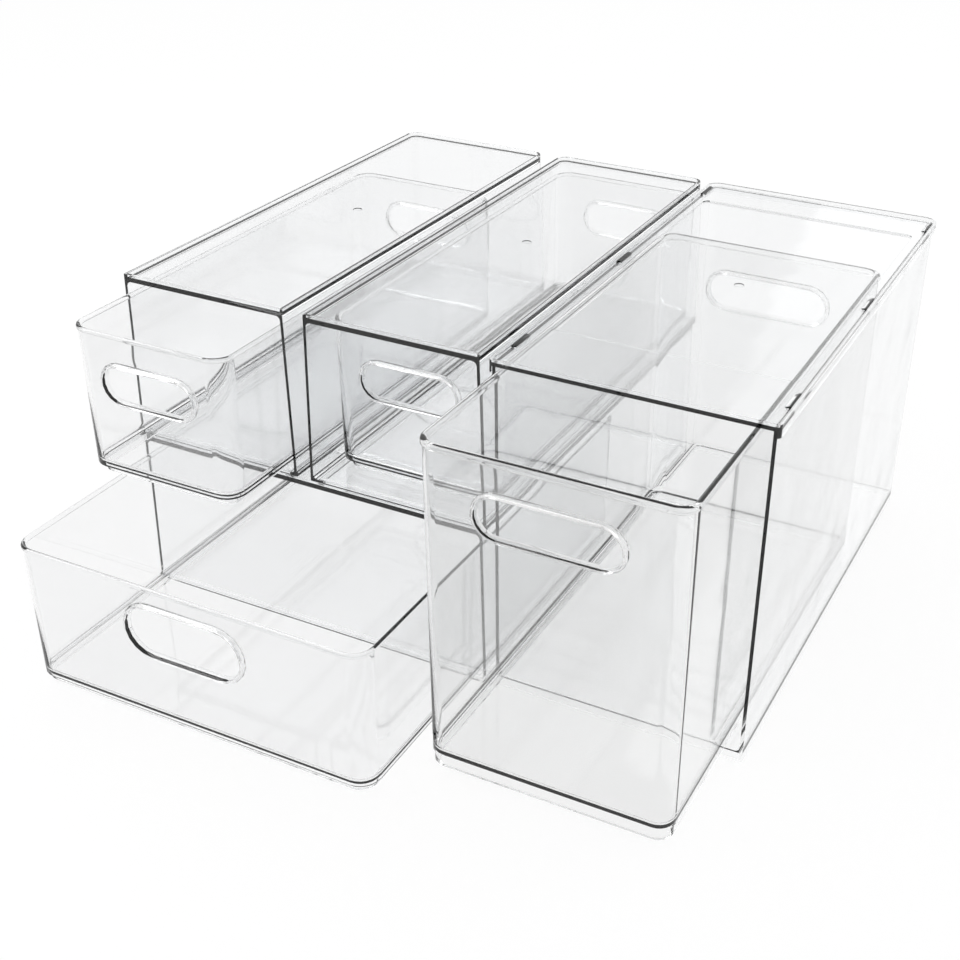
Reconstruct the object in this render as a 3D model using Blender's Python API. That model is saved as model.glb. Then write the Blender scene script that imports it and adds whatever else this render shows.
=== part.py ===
"""Clear stackable drawer organizer.

Two narrow units stand side by side on a wide one, and a tall unit with a
lid held by clips stands beside them. Each unit is a thin clear moulded casing, open
at the front, with one drawer that slides out towards the user.

Units are metres, +Z is up and the fronts face -Y. The origin lies on the
standing surface, below the middle of the whole set with its drawers as shown.
"""

import math

import bmesh
import bpy
from mathutils import Matrix, Vector

# Fits between pieces
SEAT_GAP = 0.0003
SIDE_PLAY = 0.0007
REAR_PLAY = 0.002
CUT_OVERRUN = 0.005

# Shallow casings: the wide one and the two narrow ones
CASING_DEPTH = 0.360
CASING_HEIGHT = 0.119
CASING_WALL = 0.002
CASING_FLARE = 0.0024
CASING_BACK_RADIUS = 0.008
CASING_FILLET = 0.003
FLOOR_PANEL = 0.002
TOP_PANEL = 0.0027
LIP_HEIGHT = 0.00225
LIP_WIDTH = 0.002
FOOT_RING = 0.003
NARROW_WIDTH = 0.122
NARROW_SPACING = 0.0152

# Round gate marks in the middle of every top
GATE_RADIUS = 0.0033
GATE_DEPTH = 0.0005

# Tall casing, narrower at the foot than at the top
TALL_WIDTH = 0.1727
TALL_DEPTH = 0.360
TALL_HEIGHT = 0.2289
TALL_WALL = 0.0022
TALL_TAPER = 0.0015
TALL_SKIRT = 0.0054
TALL_FLOOR = 0.002
TALL_BACK_RADIUS = 0.008
TALL_FILLET = 0.003
TALL_SPACING = 0.0013
TALL_SETBACK = 0.0046

# Snap hooks that stand on the tall casing's side walls and hold its lid
HOOK_LENGTH = 0.0184
HOOK_THICKNESS = 0.0016
HOOK_ROOT = 0.003
HOOK_INSET = 0.0003
HOOK_CATCH = 0.0006
HOOK_NOSE_HEIGHT = 0.0012
HOOK_NOSE_ROUND = 0.0005
HOOK_PLACE_SHARES = (0.09, 0.515, 0.953)

# Lid of the tall casing
LID_PLATE = 0.002
LID_SKIRT = 0.0018
LID_SKIRT_DROP = 0.0042
LID_RIM_HEIGHT = 0.002
LID_FRONT_LAP = 0.0018
LID_FRONT_RADIUS = 0.003
LID_FIELD_DEPTH = 0.0008
LID_FIELD_SIDE_MARGIN = 0.0095
LID_FIELD_FRONT_MARGIN = 0.0592
LID_FIELD_BACK_MARGIN = 0.0372
LID_FIELD_RADIUS = 0.005
SLOT_WIDTH = 0.0035
SLOT_RADIUS = 0.0012

# How far the shallow drawers stand back from their casings when pushed home
SHALLOW_DRAWER_RECESS = 0.020

# What all drawers share
DRAWER_FLOOR = 0.002
DRAWER_FOOT_RING = 0.003
DRAWER_EDGE = 0.0008
HANDLE_BEAD = 0.0037
HANDLE_PROUD = 0.002

# Narrow drawers
NARROW_DRAWER_WALL = 0.002
NARROW_DRAWER_TOP_PLAY = 0.0072
NARROW_DRAWER_SIDE_LEAN = 0.0008
NARROW_DRAWER_END_LEAN = 0.0008
NARROW_DRAWER_RADIUS = 0.014
NARROW_DRAWER_FILLET = 0.004
NARROW_DRAWER_FOOT = 0.0054
NARROW_DRAWER_FOOT_INSET = 0.0048
NARROW_DRAWER_BEAD = 0.0024
NARROW_DRAWER_BEAD_OUT = 0.0006
NARROW_DRAWER_BEAD_IN = 0.0004
NARROW_HANDLE_WIDTH = 0.0735
NARROW_HANDLE_HEIGHT = 0.0298
NARROW_HANDLE_DROP = 0.0336
NARROW_LEFT_PULL = 0.0785
NARROW_RIGHT_PULL = 0.0

# Wide drawer
WIDE_DRAWER_WALL = 0.002
WIDE_DRAWER_TOP_PLAY = 0.0091
WIDE_DRAWER_SIDE_LEAN = 0.0008
WIDE_DRAWER_END_LEAN = 0.0008
WIDE_DRAWER_RADIUS = 0.014
WIDE_DRAWER_FILLET = 0.004
WIDE_DRAWER_FOOT = 0.004
WIDE_DRAWER_FOOT_INSET = 0.0025
WIDE_DRAWER_BEAD = 0.0024
WIDE_DRAWER_BEAD_OUT = 0.0006
WIDE_DRAWER_BEAD_IN = 0.0004
WIDE_HANDLE_WIDTH = 0.089
WIDE_HANDLE_HEIGHT = 0.0398
WIDE_HANDLE_DROP = 0.0317
WIDE_PULL = 0.1506

# Tall drawer, which lies against the left of its casing
TALL_DRAWER_WALL = 0.0022
TALL_DRAWER_TOP_PLAY = 0.0023
TALL_DRAWER_SIDE_PLAY = 0.00425
TALL_DRAWER_SHIFT = 0.0034
TALL_DRAWER_SIDE_LEAN = 0.0012
TALL_DRAWER_END_LEAN = 0.0012
TALL_DRAWER_RADIUS = 0.012
TALL_DRAWER_FILLET = 0.004
TALL_DRAWER_FOOT = 0.0075
TALL_DRAWER_FOOT_INSET = 0.001
TALL_DRAWER_BEAD = 0.0038
TALL_DRAWER_BEAD_OUT = 0.001
TALL_DRAWER_BEAD_IN = 0.0008
TALL_HANDLE_WIDTH = 0.092
TALL_HANDLE_HEIGHT = 0.031
TALL_HANDLE_DROP = 0.0357
TALL_DRAWER_RECESS = 0.0015
TALL_PULL = 0.0976

# Smoothness of the curves
CORNER_STEPS = 6
FILLET_STEPS = 3
BEAD_STEPS = 3
HANDLE_STEPS = 9
HANDLE_SECTION_STEPS = 10
GATE_STEPS = 20
SMOOTH_ANGLE = math.radians(35)

# Look of the clear plastic
PLASTIC_TINT = (0.92, 0.94, 0.95, 1.0)
PLASTIC_ROUGHNESS = 0.06
PLASTIC_IOR = 1.57


def remove_everything():
    for old in list(bpy.data.objects):
        bpy.data.objects.remove(old, do_unlink=True)


def corner(centre_x, centre_y, radius, start):
    """Points of a quarter turn, or the one corner point where it is sharp."""
    if radius == 0:
        return [(centre_x, centre_y)]
    points = []
    for step in range(CORNER_STEPS + 1):
        angle = start + math.pi / 2 * step / CORNER_STEPS
        points.append((centre_x + radius * math.cos(angle), centre_y + radius * math.sin(angle)))
    return points


def outline(half_width, front, back, front_radius, back_radius, height):
    """Rounded rectangle seen from above, at one height."""
    turns = (
        (1, front, 1, front_radius, -math.pi / 2),
        (1, back, -1, back_radius, 0),
        (-1, back, -1, back_radius, math.pi / 2),
        (-1, front, 1, front_radius, math.pi),
    )
    ring = []
    for side, edge, inward, radius, start in turns:
        centre_x = side * (half_width - radius)
        centre_y = edge + inward * radius
        for x, y in corner(centre_x, centre_y, radius, start):
            ring.append(Vector((x, y, height)))
    return ring


def make_object(name, work):
    """Turn a finished bmesh into an object, faces pointing out."""
    bmesh.ops.recalc_face_normals(work, faces=work.faces)
    mesh = bpy.data.meshes.new(name)
    work.to_mesh(mesh)
    work.free()
    shape = bpy.data.objects.new(name, mesh)
    bpy.context.scene.collection.objects.link(shape)
    return shape


def loft(name, rings):
    """Closed solid through rings of equal point counts, flat at both ends."""
    work = bmesh.new()
    rows = [[work.verts.new(point) for point in ring] for ring in rings]
    count = len(rows[0])
    for lower, upper in zip(rows, rows[1:]):
        for index in range(count):
            after = (index + 1) % count
            work.faces.new((lower[index], lower[after], upper[after], upper[index]))
    work.faces.new(list(reversed(rows[0])))
    work.faces.new(rows[-1])
    return make_object(name, work)


def prism(name, profile, length):
    """Profile in the YZ plane, extruded evenly to both sides along X."""
    rings = []
    for side in (-1, 1):
        rings.append([Vector((side * length / 2, y, z)) for y, z in profile])
    return loft(name, rings)


def disc(name, radius, low, high):
    rings = []
    for height in (low, high):
        ring = []
        for step in range(GATE_STEPS):
            angle = 2 * math.pi * step / GATE_STEPS
            ring.append(Vector((radius * math.cos(angle), radius * math.sin(angle), height)))
        rings.append(ring)
    return loft(name, rings)


def drop(shape):
    mesh = shape.data
    bpy.data.objects.remove(shape, do_unlink=True)
    bpy.data.meshes.remove(mesh)


def combine(body, tool, operation):
    """Boolean of two solids; the tool is used up."""
    modifier = body.modifiers.new("boolean", "BOOLEAN")
    modifier.operation = operation
    modifier.solver = "EXACT"
    modifier.object = tool
    graph = bpy.context.evaluated_depsgraph_get()
    result = bpy.data.meshes.new_from_object(body.evaluated_get(graph))
    body.modifiers.clear()
    before = body.data
    body.data = result
    bpy.data.meshes.remove(before)
    drop(tool)


def move(shape, matrix):
    shape.data.transform(matrix)


def quarter(radius, start, steps):
    """Offsets along a quarter turn of a fillet."""
    points = []
    for step in range(steps + 1):
        angle = start + math.pi / 2 * step / steps
        points.append((radius * math.cos(angle), radius * math.sin(angle)))
    return points


def shallow_casing(name, width):
    """Flared box, open at the front, with a stacking lip and the foot that fits it."""
    top_half = width / 2
    bottom_half = top_half + CASING_FLARE
    foot_half = top_half - LIP_WIDTH - SEAT_GAP
    foot_front = LIP_WIDTH + SEAT_GAP
    foot_back = CASING_DEPTH - LIP_WIDTH - SEAT_GAP
    foot_radius = CASING_BACK_RADIUS - LIP_WIDTH - SEAT_GAP
    floor_top = LIP_HEIGHT + FLOOR_PANEL
    panel_top = CASING_HEIGHT - LIP_HEIGHT
    ceiling = panel_top - TOP_PANEL

    body = loft(name, [
        outline(foot_half, foot_front, foot_back, 0, foot_radius, 0),
        outline(foot_half, foot_front, foot_back, 0, foot_radius, LIP_HEIGHT),
        outline(bottom_half, 0, CASING_DEPTH, 0, CASING_BACK_RADIUS, LIP_HEIGHT),
        outline(top_half, 0, CASING_DEPTH, 0, CASING_BACK_RADIUS, CASING_HEIGHT),
    ])

    # space for the drawer, rounded along its edges and open at the front
    def space_ring(inset, height):
        lean = CASING_FLARE * (CASING_HEIGHT - height) / (CASING_HEIGHT - LIP_HEIGHT)
        half = top_half + lean - CASING_WALL - inset
        back = CASING_DEPTH - CASING_WALL - inset
        radius = CASING_BACK_RADIUS - CASING_WALL - inset
        return outline(half, -CUT_OVERRUN, back, 0, max(radius, CASING_WALL), height)

    rings = []
    for across, along in quarter(CASING_FILLET, -math.pi / 2, FILLET_STEPS):
        rings.append(space_ring(CASING_FILLET - across, floor_top + CASING_FILLET + along))
    for across, along in quarter(CASING_FILLET, 0, FILLET_STEPS):
        rings.append(space_ring(CASING_FILLET - across, ceiling - CASING_FILLET + along))
    combine(body, loft("space", rings), "DIFFERENCE")

    # sunk top panel, which leaves the lip standing
    lip_half = top_half - LIP_WIDTH
    lip_back = CASING_DEPTH - LIP_WIDTH
    lip_radius = CASING_BACK_RADIUS - LIP_WIDTH
    combine(body, loft("top", [
        outline(lip_half, LIP_WIDTH, lip_back, 0, lip_radius, panel_top),
        outline(lip_half, LIP_WIDTH, lip_back, 0, lip_radius, CASING_HEIGHT + CUT_OVERRUN),
    ]), "DIFFERENCE")

    # hollow inside the foot ring
    hollow_half = foot_half - FOOT_RING
    hollow_front = foot_front + FOOT_RING
    hollow_back = foot_back - FOOT_RING
    hollow_radius = foot_radius - FOOT_RING
    combine(body, loft("hollow", [
        outline(hollow_half, hollow_front, hollow_back, 0, hollow_radius, -CUT_OVERRUN),
        outline(hollow_half, hollow_front, hollow_back, 0, hollow_radius, LIP_HEIGHT),
    ]), "DIFFERENCE")

    gate = disc("gate", GATE_RADIUS, panel_top - GATE_DEPTH, panel_top + CUT_OVERRUN)
    move(gate, Matrix.Translation((0, CASING_DEPTH / 2, 0)))
    combine(body, gate, "DIFFERENCE")
    return body


def hook_places():
    """Middles of the snap hooks along the depth, and which way each side faces."""
    places = []
    for share in HOOK_PLACE_SHARES:
        for side in (-1, 1):
            turn = Matrix.Rotation(side * math.pi / 2, 4, "Z")
            spot = Matrix.Translation((side * TALL_WIDTH / 2, TALL_DEPTH * share, 0))
            places.append(spot @ turn)
    return places


def tall_casing(name):
    """Deep box, open at the front and the top, with snap hooks on its side walls."""
    top_half = TALL_WIDTH / 2
    floor_top = TALL_SKIRT + TALL_FLOOR

    def shell_ring(inset, front, height):
        lean = TALL_TAPER * (TALL_HEIGHT - height) / TALL_HEIGHT
        radius = max(TALL_BACK_RADIUS - inset, TALL_WALL)
        return outline(top_half - lean - inset, front, TALL_DEPTH - lean - inset, 0, radius, height)

    body = loft(name, [shell_ring(0, 0, 0), shell_ring(0, 0, TALL_HEIGHT)])

    rings = []
    for across, along in quarter(TALL_FILLET, -math.pi / 2, FILLET_STEPS):
        inset = TALL_WALL + TALL_FILLET - across
        rings.append(shell_ring(inset, -CUT_OVERRUN, floor_top + TALL_FILLET + along))
    rings.append(shell_ring(TALL_WALL, -CUT_OVERRUN, TALL_HEIGHT + CUT_OVERRUN))
    combine(body, loft("space", rings), "DIFFERENCE")

    combine(body, loft("hollow", [
        shell_ring(TALL_WALL, TALL_WALL, -CUT_OVERRUN),
        shell_ring(TALL_WALL, TALL_WALL, TALL_SKIRT),
    ]), "DIFFERENCE")

    # hook profile: inwards is +Y, the nose catches the lid's plate from above
    plate_top = TALL_HEIGHT + SEAT_GAP + LID_PLATE
    nose_low = plate_top + SEAT_GAP
    nose_high = nose_low + HOOK_NOSE_HEIGHT
    stem_outer = HOOK_INSET
    stem_inner = HOOK_INSET + HOOK_THICKNESS
    reach = SLOT_WIDTH + HOOK_CATCH
    profile = [
        (stem_outer, TALL_HEIGHT - HOOK_ROOT),
        (stem_inner, TALL_HEIGHT - HOOK_ROOT),
        (stem_inner, nose_low),
        (reach, nose_low),
        (reach, nose_low + HOOK_NOSE_ROUND),
        (stem_inner, nose_high),
        (stem_outer + HOOK_NOSE_ROUND, nose_high),
        (stem_outer, nose_high - HOOK_NOSE_ROUND),
    ]
    for place in hook_places():
        hook = prism("hook", profile, HOOK_LENGTH)
        move(hook, place)
        combine(body, hook, "UNION")
    return body


def tall_lid(name):
    """Plate with a raised rim and a skirt on three sides, slotted for the hooks."""
    inner_half = TALL_WIDTH / 2 + SEAT_GAP
    outer_half = inner_half + LID_SKIRT
    inner_back = TALL_DEPTH + SEAT_GAP
    outer_back = inner_back + LID_SKIRT
    front = -LID_FRONT_LAP
    outer_radius = TALL_BACK_RADIUS + SEAT_GAP + LID_SKIRT
    inner_radius = TALL_BACK_RADIUS + SEAT_GAP
    under = TALL_HEIGHT + SEAT_GAP
    plate_top = under + LID_PLATE
    rim_top = plate_top + LID_RIM_HEIGHT
    skirt_low = under - LID_SKIRT_DROP

    body = loft(name, [
        outline(outer_half, front, outer_back, LID_FRONT_RADIUS, outer_radius, skirt_low),
        outline(outer_half, front, outer_back, LID_FRONT_RADIUS, outer_radius, rim_top),
    ])
    combine(body, loft("seat", [
        outline(inner_half, front - CUT_OVERRUN, inner_back, 0, inner_radius, skirt_low - CUT_OVERRUN),
        outline(inner_half, front - CUT_OVERRUN, inner_back, 0, inner_radius, under),
    ]), "DIFFERENCE")

    pan_front = front + LID_SKIRT
    pan_radius = max(LID_FRONT_RADIUS - LID_SKIRT, SEAT_GAP)
    combine(body, loft("pan", [
        outline(inner_half, pan_front, inner_back, pan_radius, inner_radius, plate_top),
        outline(inner_half, pan_front, inner_back, pan_radius, inner_radius, rim_top + CUT_OVERRUN),
    ]), "DIFFERENCE")

    field_half = outer_half - LID_FIELD_SIDE_MARGIN
    field_front = front + LID_FIELD_FRONT_MARGIN
    field_back = outer_back - LID_FIELD_BACK_MARGIN
    field_low = plate_top - LID_FIELD_DEPTH
    radius = LID_FIELD_RADIUS
    combine(body, loft("field", [
        outline(field_half, field_front, field_back, radius, radius, field_low),
        outline(field_half, field_front, field_back, radius, radius, rim_top + CUT_OVERRUN),
    ]), "DIFFERENCE")

    # slots for the hooks, rounded on their inner side
    slot_half = HOOK_LENGTH / 2 + SEAT_GAP
    slot_outer = HOOK_INSET - SEAT_GAP
    for place in hook_places():
        slot = loft("slot", [
            outline(slot_half, slot_outer, SLOT_WIDTH, 0, SLOT_RADIUS, under - CUT_OVERRUN),
            outline(slot_half, slot_outer, SLOT_WIDTH, 0, SLOT_RADIUS, plate_top + CUT_OVERRUN),
        ])
        move(slot, place)
        combine(body, slot, "DIFFERENCE")

    gate = disc("gate", GATE_RADIUS, field_low - GATE_DEPTH, rim_top)
    move(gate, Matrix.Translation((0, TALL_DEPTH / 2, 0)))
    combine(body, gate, "DIFFERENCE")
    return body


def oval(half_width, half_height, grow, y):
    """Upright slot shape with full round ends, grown evenly by an offset."""
    radius = half_height + grow
    reach = half_width - half_height
    ring = []
    for side, start in ((1, -math.pi / 2), (-1, math.pi / 2)):
        for step in range(HANDLE_STEPS + 1):
            angle = start + math.pi * step / HANDLE_STEPS
            ring.append(Vector((side * reach + radius * math.cos(angle), y, radius * math.sin(angle))))
    return ring


def grip_bead(name, half_width, half_height, thickness):
    """Rounded bead that runs round the grip opening, proud of both wall faces."""
    work = bmesh.new()
    rows = []
    middle = HANDLE_BEAD / 2
    for step in range(HANDLE_SECTION_STEPS):
        angle = 2 * math.pi * step / HANDLE_SECTION_STEPS
        grow = -middle + middle * math.cos(angle)
        y = (thickness / 2 + HANDLE_PROUD) * math.sin(angle)
        rows.append([work.verts.new(point) for point in oval(half_width, half_height, grow, y)])
    count = len(rows[0])
    for row in range(HANDLE_SECTION_STEPS):
        near = rows[row]
        far = rows[(row + 1) % HANDLE_SECTION_STEPS]
        for index in range(count):
            after = (index + 1) % count
            work.faces.new((near[index], near[after], far[after], far[index]))
    return make_object(name, work)


def drawer(name, size):
    """Tapered tray with a foot ring, a beaded rim and a beaded grip in both ends."""
    half = size["width"] / 2
    depth = size["depth"]
    height = size["height"]
    wall = size["wall"]
    foot = size["foot"]
    bead_out = size["bead_out"]
    bead_low = height - size["bead"]
    bead_deep = bead_out + wall + size["bead_in"]
    bead_round = bead_deep / 2 - size["bead_in"] / 2
    floor_top = foot + DRAWER_FLOOR
    fillet = size["fillet"]

    def tray_ring(inset, z):
        """Ring at one height; the inset counts from the rim's outer edge."""
        share = (height - z) / height
        side = inset + size["side_lean"] * share
        end = inset + size["end_lean"] * share
        radius = size["radius"] - inset
        return outline(half - side, end, depth - end, radius, radius, z)

    foot_inset = bead_out + size["foot_inset"]
    rings = [
        tray_ring(foot_inset + DRAWER_FOOT_RING, foot),
        tray_ring(foot_inset + DRAWER_FOOT_RING, 0),
        tray_ring(foot_inset, 0),
        tray_ring(foot_inset, foot),
    ]
    for across, along in quarter(DRAWER_EDGE, -math.pi / 2, FILLET_STEPS):
        rings.append(tray_ring(bead_out + DRAWER_EDGE - across, foot + DRAWER_EDGE + along))
    rings.append(tray_ring(bead_out, bead_low - bead_out))
    rings.append(tray_ring(0, bead_low))
    for across, along in quarter(bead_round, 0, BEAD_STEPS):
        rings.append(tray_ring(bead_round - across, height - bead_round + along))
    for across, along in quarter(bead_round, math.pi / 2, BEAD_STEPS):
        rings.append(tray_ring(bead_deep - bead_round - across, height - bead_round + along))
    rings.append(tray_ring(bead_deep, bead_low))
    rings.append(tray_ring(bead_out + wall, bead_low - size["bead_in"]))
    for across, along in quarter(fillet, 0, FILLET_STEPS):
        inset = bead_out + wall + fillet - across
        rings.append(tray_ring(inset, floor_top + fillet - along))
    body = loft(name, rings)

    # grip openings in the leaning end walls, each with its bead
    grip_height = height - size["handle_drop"]
    tilt = math.atan2(size["end_lean"], height)
    middle_y = bead_out + wall / 2 + size["end_lean"] * size["handle_drop"] / height
    half_grip = size["handle_width"] / 2
    half_rise = size["handle_height"] / 2
    for end in (1, -1):
        centre_y = middle_y if end == 1 else depth - middle_y
        spot = Matrix.Translation((0, centre_y, grip_height)) @ Matrix.Rotation(end * tilt, 4, "X")
        inside = -HANDLE_BEAD / 2
        reach = wall + HANDLE_PROUD
        hole = loft("hole", [
            oval(half_grip, half_rise, inside, -reach),
            oval(half_grip, half_rise, inside, reach),
        ])
        move(hole, spot)
        combine(body, hole, "DIFFERENCE")
        bead = grip_bead("bead", half_grip, half_rise, wall)
        move(bead, spot)
        combine(body, bead, "UNION")
    return body


def clear_plastic(name):
    material = bpy.data.materials.new(name)
    material.use_nodes = True
    shader = material.node_tree.nodes["Principled BSDF"]
    shader.inputs["Base Color"].default_value = PLASTIC_TINT
    shader.inputs["Roughness"].default_value = PLASTIC_ROUGHNESS
    shader.inputs["Metallic"].default_value = 0.0
    shader.inputs["IOR"].default_value = PLASTIC_IOR
    shader.inputs["Transmission Weight"].default_value = 1.0
    material.diffuse_color = PLASTIC_TINT
    return material


def finish(shape):
    """Smooth the curves, keep the edges and give the piece its own material."""
    shape.data.materials.clear()
    shape.data.materials.append(clear_plastic(shape.name + "_plastic"))
    shape.data.shade_smooth()
    shape.data.set_sharp_from_angle(angle=SMOOTH_ANGLE)


def twin(shape, name):
    """A second piece from the same mould."""
    copy = bpy.data.objects.new(name, shape.data.copy())
    bpy.context.scene.collection.objects.link(copy)
    return copy


def frame(name, parent, location):
    empty = bpy.data.objects.new(name, None)
    bpy.context.scene.collection.objects.link(empty)
    empty.parent = parent
    empty.location = location
    return empty


def settle(root, shapes):
    """Stand the set on the origin: below the middle of everything that is shown."""
    bpy.context.view_layer.update()
    corners = []
    for shape in shapes:
        for vertex in shape.data.vertices:
            corners.append(shape.matrix_world @ vertex.co)
    spans = []
    for axis in range(3):
        values = [point[axis] for point in corners]
        spans.append((min(values), max(values)))
    root.location.x -= sum(spans[0]) / 2
    root.location.y -= sum(spans[1]) / 2
    root.location.z -= spans[2][0]
    bpy.context.view_layer.update()


def build():
    remove_everything()
    wide_width = 2 * NARROW_WIDTH + NARROW_SPACING
    floor_top = LIP_HEIGHT + FLOOR_PANEL
    ceiling = CASING_HEIGHT - LIP_HEIGHT - TOP_PANEL
    shallow_room = ceiling - floor_top - SEAT_GAP
    shallow_depth = CASING_DEPTH - CASING_WALL - REAR_PLAY - SHALLOW_DRAWER_RECESS
    tall_room = TALL_HEIGHT + SEAT_GAP - TALL_SKIRT - TALL_FLOOR - SEAT_GAP

    narrow_sizes = {
        "width": NARROW_WIDTH - 2 * CASING_WALL - 2 * SIDE_PLAY,
        "depth": shallow_depth,
        "height": shallow_room - NARROW_DRAWER_TOP_PLAY,
        "wall": NARROW_DRAWER_WALL,
        "side_lean": NARROW_DRAWER_SIDE_LEAN,
        "end_lean": NARROW_DRAWER_END_LEAN,
        "radius": NARROW_DRAWER_RADIUS,
        "fillet": NARROW_DRAWER_FILLET,
        "foot": NARROW_DRAWER_FOOT,
        "foot_inset": NARROW_DRAWER_FOOT_INSET,
        "bead": NARROW_DRAWER_BEAD,
        "bead_out": NARROW_DRAWER_BEAD_OUT,
        "bead_in": NARROW_DRAWER_BEAD_IN,
        "handle_width": NARROW_HANDLE_WIDTH,
        "handle_height": NARROW_HANDLE_HEIGHT,
        "handle_drop": NARROW_HANDLE_DROP,
    }
    wide_sizes = {
        "width": wide_width - 2 * CASING_WALL - 2 * SIDE_PLAY,
        "depth": shallow_depth,
        "height": shallow_room - WIDE_DRAWER_TOP_PLAY,
        "wall": WIDE_DRAWER_WALL,
        "side_lean": WIDE_DRAWER_SIDE_LEAN,
        "end_lean": WIDE_DRAWER_END_LEAN,
        "radius": WIDE_DRAWER_RADIUS,
        "fillet": WIDE_DRAWER_FILLET,
        "foot": WIDE_DRAWER_FOOT,
        "foot_inset": WIDE_DRAWER_FOOT_INSET,
        "bead": WIDE_DRAWER_BEAD,
        "bead_out": WIDE_DRAWER_BEAD_OUT,
        "bead_in": WIDE_DRAWER_BEAD_IN,
        "handle_width": WIDE_HANDLE_WIDTH,
        "handle_height": WIDE_HANDLE_HEIGHT,
        "handle_drop": WIDE_HANDLE_DROP,
    }
    tall_sizes = {
        "width": TALL_WIDTH - 2 * TALL_WALL - 2 * TALL_DRAWER_SIDE_PLAY,
        "depth": TALL_DEPTH - TALL_WALL - REAR_PLAY - TALL_DRAWER_RECESS,
        "height": tall_room - TALL_DRAWER_TOP_PLAY,
        "wall": TALL_DRAWER_WALL,
        "side_lean": TALL_DRAWER_SIDE_LEAN,
        "end_lean": TALL_DRAWER_END_LEAN,
        "radius": TALL_DRAWER_RADIUS,
        "fillet": TALL_DRAWER_FILLET,
        "foot": TALL_DRAWER_FOOT,
        "foot_inset": TALL_DRAWER_FOOT_INSET,
        "bead": TALL_DRAWER_BEAD,
        "bead_out": TALL_DRAWER_BEAD_OUT,
        "bead_in": TALL_DRAWER_BEAD_IN,
        "handle_width": TALL_HANDLE_WIDTH,
        "handle_height": TALL_HANDLE_HEIGHT,
        "handle_drop": TALL_HANDLE_DROP,
    }

    # where each unit stands, measured from the middle of the wide one's front
    narrow_x = (NARROW_WIDTH + NARROW_SPACING) / 2
    upper_z = CASING_HEIGHT - LIP_HEIGHT + SEAT_GAP
    lid_half = TALL_WIDTH / 2 + SEAT_GAP + LID_SKIRT
    tall_x = wide_width / 2 + CASING_FLARE + TALL_SPACING + lid_half
    root = frame("organizer", None, (0, 0, 0))
    wide_unit = frame("wide_unit", root, (0, 0, 0))
    left_unit = frame("narrow_unit_left", root, (-narrow_x, 0, upper_z))
    right_unit = frame("narrow_unit_right", root, (narrow_x, 0, upper_z))
    tall_unit = frame("tall_unit", root, (tall_x, TALL_SETBACK, 0))

    wide_case = shallow_casing("wide_casing", wide_width)
    left_case = shallow_casing("narrow_casing_left", NARROW_WIDTH)
    right_case = twin(left_case, "narrow_casing_right")
    tall_case = tall_casing("tall_casing")
    lid = tall_lid("tall_lid")
    wide_tray = drawer("wide_drawer", wide_sizes)
    left_tray = drawer("narrow_drawer_left", narrow_sizes)
    right_tray = twin(left_tray, "narrow_drawer_right")
    tall_tray = drawer("tall_drawer", tall_sizes)

    shallow_floor = floor_top + SEAT_GAP
    tall_floor = TALL_SKIRT + TALL_FLOOR + SEAT_GAP
    places = (
        (wide_case, wide_unit, (0, 0, 0)),
        (left_case, left_unit, (0, 0, 0)),
        (right_case, right_unit, (0, 0, 0)),
        (tall_case, tall_unit, (0, 0, 0)),
        (lid, tall_unit, (0, 0, 0)),
        (wide_tray, wide_unit, (0, SHALLOW_DRAWER_RECESS - WIDE_PULL, shallow_floor)),
        (left_tray, left_unit, (0, SHALLOW_DRAWER_RECESS - NARROW_LEFT_PULL, shallow_floor)),
        (right_tray, right_unit, (0, SHALLOW_DRAWER_RECESS - NARROW_RIGHT_PULL, shallow_floor)),
        (tall_tray, tall_unit, (-TALL_DRAWER_SHIFT, TALL_DRAWER_RECESS - TALL_PULL, tall_floor)),
    )
    for shape, unit, location in places:
        shape.parent = unit
        shape.location = location
        finish(shape)
    settle(root, [shape for shape, unit, location in places])


build()
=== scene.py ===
"""Studio scene of the clear drawer organizer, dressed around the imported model."""

import math

import bpy
from mathutils import Matrix, Vector

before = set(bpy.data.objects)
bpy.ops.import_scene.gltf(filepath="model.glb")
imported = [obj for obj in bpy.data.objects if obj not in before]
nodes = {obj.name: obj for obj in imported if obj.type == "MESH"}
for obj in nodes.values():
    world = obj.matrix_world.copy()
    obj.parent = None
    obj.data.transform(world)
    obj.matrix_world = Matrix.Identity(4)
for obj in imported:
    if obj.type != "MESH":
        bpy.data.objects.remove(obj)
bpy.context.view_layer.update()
scene = bpy.context.scene

# Look of the moulded plastic
PLASTIC_IOR = 1.5
CASING_COLOUR = (0.985, 0.988, 0.990)
# The drawer colours are darker copies of the same clear plastic. They are painted shade for the
# shaded floor seen through the drawers, darkest in the tall drawer.
DRAWER_PAINTED_SHADE_COLOUR = (0.965, 0.966, 0.967)
TALL_DRAWER_PAINTED_SHADE_COLOUR = (0.935, 0.936, 0.935)
FLOW_LINE_SHARES = (0.985, 0.986, 0.988)
FLOW_LINE_SCALE = 9.0
HAZE_SCALE = 60.0
ROUGHNESS_RANGE = (0.015, 0.045)
SWELL_SCALE = 22.0
SWELL_DEPTH = 0.0006
CASING_WAVINESS = 0.25
DRAWER_WAVINESS = 0.2
ABSORB_COLOUR = (0.32, 0.34, 0.35, 1.0)
ABSORB_DENSITY = 4.8
SHADOW_TINT = (0.93, 0.93, 0.93, 1.0)

# Shading and edges
JOIN_DISTANCE = 1e-6
SMOOTH_ANGLE = math.radians(40)
EDGE_ROUND = 0.0004

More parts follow.
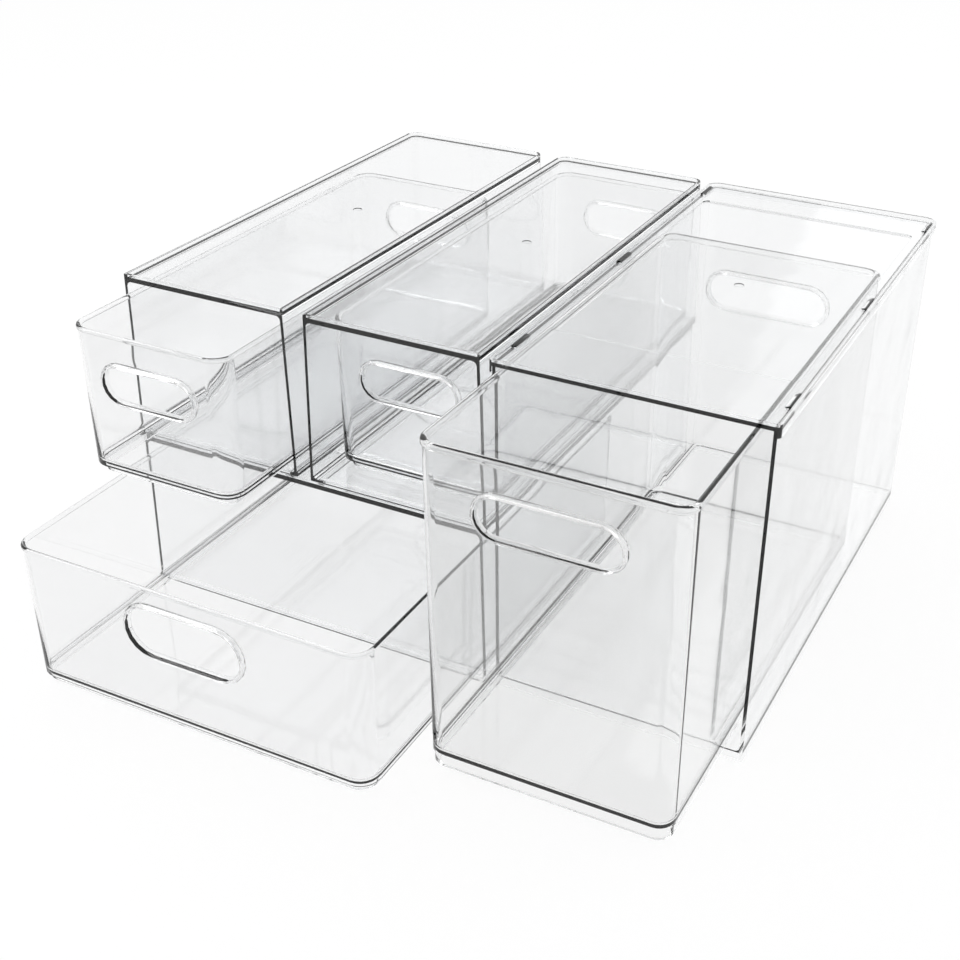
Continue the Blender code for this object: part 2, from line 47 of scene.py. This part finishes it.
# Room and floor
WHITE = (1.0, 1.0, 1.0, 1.0)
ZENITH_COLOUR = (0.9, 0.9, 0.9, 1.0)
ZENITH_START, ZENITH_END = 0.12, 0.95
CAMERA_SIDE_SHARE = 0.9
CAMERA_SIDE_START, CAMERA_SIDE_END = -0.9, 0.1
FLOOR_SIZE = 16.0
FLOOR_COLOUR = (0.9, 0.9, 0.9, 1.0)
FLOOR_ROUGHNESS = 0.9
FLOOR_SPECULAR = 0.1
FLOOR_WHITE_SHARE = 0.86


def clear_plastic(name, colour, waviness):
    """Clear plastic with faint flow lines and polished faces, darker along its edges."""
    material = bpy.data.materials.new(name)
    material.use_nodes = True
    tree = material.node_tree
    shader = tree.nodes["Principled BSDF"]
    output = tree.nodes["Material Output"]
    place = tree.nodes.new("ShaderNodeTexCoord")

    def noise(scale, detail):
        texture = tree.nodes.new("ShaderNodeTexNoise")
        texture.inputs["Scale"].default_value = scale
        texture.inputs["Detail"].default_value = detail
        tree.links.new(place.outputs["Object"], texture.inputs["Vector"])
        return texture.outputs["Fac"]

    tint = tree.nodes.new("ShaderNodeMix")
    tint.data_type = "RGBA"
    darker = [value * share for value, share in zip(colour, FLOW_LINE_SHARES)]
    tint.inputs[6].default_value = (*darker, 1.0)
    tint.inputs[7].default_value = (*colour, 1.0)
    tree.links.new(noise(FLOW_LINE_SCALE, 2.0), tint.inputs["Factor"])
    tree.links.new(tint.outputs[2], shader.inputs["Base Color"])

    gloss = tree.nodes.new("ShaderNodeMapRange")
    gloss.inputs["To Min"].default_value = ROUGHNESS_RANGE[0]
    gloss.inputs["To Max"].default_value = ROUGHNESS_RANGE[1]
    tree.links.new(noise(HAZE_SCALE, 3.0), gloss.inputs["Value"])
    tree.links.new(gloss.outputs["Result"], shader.inputs["Roughness"])

    bump = tree.nodes.new("ShaderNodeBump")
    bump.inputs["Strength"].default_value = waviness
    bump.inputs["Distance"].default_value = SWELL_DEPTH
    tree.links.new(noise(SWELL_SCALE, 1.0), bump.inputs["Height"])
    tree.links.new(bump.outputs["Normal"], shader.inputs["Normal"])

    shader.inputs["IOR"].default_value = PLASTIC_IOR
    shader.inputs["Transmission Weight"].default_value = 1.0
    depth = tree.nodes.new("ShaderNodeVolumeAbsorption")
    depth.inputs["Color"].default_value = ABSORB_COLOUR
    depth.inputs["Density"].default_value = ABSORB_DENSITY
    tree.links.new(depth.outputs["Volume"], output.inputs["Volume"])

    # Light passes the thin walls, so the shadow stays pale
    path = tree.nodes.new("ShaderNodeLightPath")
    through = tree.nodes.new("ShaderNodeBsdfTransparent")
    through.inputs["Color"].default_value = SHADOW_TINT
    skin = tree.nodes.new("ShaderNodeMixShader")
    tree.links.new(path.outputs["Is Shadow Ray"], skin.inputs[0])
    tree.links.new(shader.outputs[0], skin.inputs[1])
    tree.links.new(through.outputs[0], skin.inputs[2])
    tree.links.new(skin.outputs[0], output.inputs["Surface"])
    return material


looks = {
    "casing": clear_plastic("casing_plastic", CASING_COLOUR, CASING_WAVINESS),
    "lid": clear_plastic("lid_plastic", CASING_COLOUR, DRAWER_WAVINESS),
    # The two drawer looks carry painted shade in their darker base colours.
    "drawer": clear_plastic("drawer_plastic", DRAWER_PAINTED_SHADE_COLOUR, DRAWER_WAVINESS),
    "tall_drawer": clear_plastic("tall_drawer_plastic_painted_shade", TALL_DRAWER_PAINTED_SHADE_COLOUR, DRAWER_WAVINESS),
}


def smooth_faces():
    """Modifier group that joins the facets and keeps only real edges sharp."""
    group = bpy.data.node_groups.new("smooth_faces", "GeometryNodeTree")
    for in_out in ("INPUT", "OUTPUT"):
        group.interface.new_socket("Geometry", in_out=in_out, socket_type="NodeSocketGeometry")
    start = group.nodes.new("NodeGroupInput")
    end = group.nodes.new("NodeGroupOutput")
    merge = group.nodes.new("GeometryNodeMergeByDistance")
    merge.inputs["Distance"].default_value = JOIN_DISTANCE
    angle = group.nodes.new("GeometryNodeInputMeshEdgeAngle")
    edge = group.nodes.new("FunctionNodeCompare")
    edge.data_type = "FLOAT"
    edge.operation = "GREATER_THAN"
    edge.inputs["B"].default_value = SMOOTH_ANGLE
    normal = group.nodes.new("GeometryNodeSetMeshNormal")
    normal.mode = "SHARPNESS"
    normal.inputs["Remove Custom"].default_value = True
    normal.inputs["Face Sharpness"].default_value = False
    group.links.new(start.outputs[0], merge.inputs["Geometry"])
    group.links.new(merge.outputs["Geometry"], normal.inputs["Mesh"])
    group.links.new(angle.outputs["Unsigned Angle"], edge.inputs["A"])
    group.links.new(edge.outputs["Result"], normal.inputs["Edge Sharpness"])
    group.links.new(normal.outputs["Mesh"], end.inputs[0])
    return group


smoothing = smooth_faces()
for name, node in nodes.items():
    kind = "drawer" if "drawer" in name else "lid" if "lid" in name else "casing"
    node.data.materials.clear()
    node.data.materials.append(looks["tall_drawer" if name == "tall_drawer" else kind])
    join = node.modifiers.new("join", "NODES")
    join.node_group = smoothing
    round_edge = node.modifiers.new("round_edge", "BEVEL")
    round_edge.width = EDGE_ROUND
    round_edge.segments = 2
    round_edge.limit_method = "ANGLE"
    round_edge.angle_limit = SMOOTH_ANGLE
    round_edge.miter_outer = "MITER_ARC"
    even = node.modifiers.new("even_shading", "WEIGHTED_NORMAL")
    even.mode = "FACE_AREA"
    even.weight = 100
    even.keep_sharp = True


def background_share(tree):
    """1 for the rays that show the background, as seen straight, mirrored or through plastic."""
    path = tree.nodes.new("ShaderNodeLightPath")
    total = path.outputs["Is Camera Ray"]
    for ray in ("Is Glossy Ray", "Is Transmission Ray"):
        add = tree.nodes.new("ShaderNodeMath")
        add.operation = "ADD"
        add.use_clamp = True
        tree.links.new(total, add.inputs[0])
        tree.links.new(path.outputs[ray], add.inputs[1])
        total = add.outputs[0]
    return total


# Studio room: white, a little greyer overhead and behind the camera
world = bpy.data.worlds.new("studio")
scene.world = world
world.use_nodes = True
tree = world.node_tree
back = tree.nodes["Background"]
heading = tree.nodes.new("ShaderNodeTexCoord")
parts = tree.nodes.new("ShaderNodeSeparateXYZ")
tree.links.new(heading.outputs["Generated"], parts.inputs[0])
rise = tree.nodes.new("ShaderNodeValToRGB")
low, high = rise.color_ramp.elements
low.position, low.color = ZENITH_START, WHITE
high.position, high.color = ZENITH_END, ZENITH_COLOUR
tree.links.new(parts.outputs["Z"], rise.inputs["Fac"])
side = tree.nodes.new("ShaderNodeMapRange")
side.inputs["From Min"].default_value = CAMERA_SIDE_START
side.inputs["From Max"].default_value = CAMERA_SIDE_END
side.inputs["To Min"].default_value = CAMERA_SIDE_SHARE
side.inputs["To Max"].default_value = 1.0
tree.links.new(parts.outputs["Y"], side.inputs["Value"])
room = tree.nodes.new("ShaderNodeMix")
room.data_type = "RGBA"
room.blend_type = "MULTIPLY"
room.inputs["Factor"].default_value = 1.0
tree.links.new(rise.outputs["Color"], room.inputs[6])
tree.links.new(side.outputs["Result"], room.inputs[7])
plain = tree.nodes.new("ShaderNodeLightPath")
shown = tree.nodes.new("ShaderNodeMix")
shown.data_type = "RGBA"
shown.inputs[7].default_value = WHITE
tree.links.new(plain.outputs["Is Camera Ray"], shown.inputs["Factor"])
tree.links.new(room.outputs[2], shown.inputs[6])
tree.links.new(shown.outputs[2], back.inputs["Color"])
back.inputs["Strength"].default_value = 1.0

# Pale floor that keeps the shadow
bpy.ops.mesh.primitive_plane_add(size=FLOOR_SIZE, location=(0, 0, 0))
floor = bpy.context.object
floor.name = "floor"
material = bpy.data.materials.new("floor_white")
material.use_nodes = True
tree = material.node_tree
shader = tree.nodes["Principled BSDF"]
shader.inputs["Base Color"].default_value = FLOOR_COLOUR
shader.inputs["Roughness"].default_value = FLOOR_ROUGHNESS
shader.inputs["Specular IOR Level"].default_value = FLOOR_SPECULAR
shine = tree.nodes.new("ShaderNodeEmission")
shine.inputs["Strength"].default_value = 1.0
mix = tree.nodes.new("ShaderNodeMixShader")
share = tree.nodes.new("ShaderNodeMath")
share.operation = "MULTIPLY"
share.inputs[1].default_value = FLOOR_WHITE_SHARE
tree.links.new(background_share(tree), share.inputs[0])
tree.links.new(share.outputs[0], mix.inputs[0])
tree.links.new(shader.outputs[0], mix.inputs[1])
tree.links.new(shine.outputs[0], mix.inputs[2])
tree.links.new(mix.outputs[0], tree.nodes["Material Output"].inputs["Surface"])
floor.data.materials.append(material)


def lamp(name, place, size, power, target=(0, 0, 0.1)):
    """Soft rectangular lamp that faces the target."""
    data = bpy.data.lights.new(name, "AREA")
    data.shape = "RECTANGLE"
    data.size, data.size_y = size
    data.energy = power
    lamp_object = bpy.data.objects.new(name, data)
    scene.collection.objects.link(lamp_object)
    lamp_object.location = place
    aim = Vector(target) - Vector(place)
    lamp_object.rotation_euler = aim.to_track_quat("-Z", "Y").to_euler()
    return lamp_object


lamp("key", (-1.2, -0.6, 1.8), (1.2, 1.2), 16)
rear_lamp = lamp("rear", (0.6, 1.8, 1.4), (2.4, 1.2), 6)
rear_lamp.visible_glossy = False

# Camera at the photograph's place, given by its right, up and viewing directions
camera_data = bpy.data.cameras.new("camera")
camera = bpy.data.objects.new("camera", camera_data)
scene.collection.objects.link(camera)
scene.camera = camera
camera_data.sensor_width = 36.0
camera_data.lens = 54.87
camera_data.shift_x = -0.0788
camera_data.shift_y = -0.0375
right = Vector((0.89899102, 0.43759442, 0.01806273))
up = Vector((-0.22376798, 0.42347263, 0.87783758))
ahead = Vector((-0.37648776, 0.79320997, -0.47861771))
turn = Matrix((right, up, -ahead)).transposed().to_4x4()
camera.matrix_world = Matrix.Translation((0.4076, -0.78629, 0.59403)) @ turn
camera_data.clip_start = 0.01
camera_data.clip_end = 100

scene.view_settings.view_transform = "Standard"
scene.cycles.max_bounces = 36
scene.cycles.transmission_bounces = 36
scene.cycles.transparent_max_bounces = 32
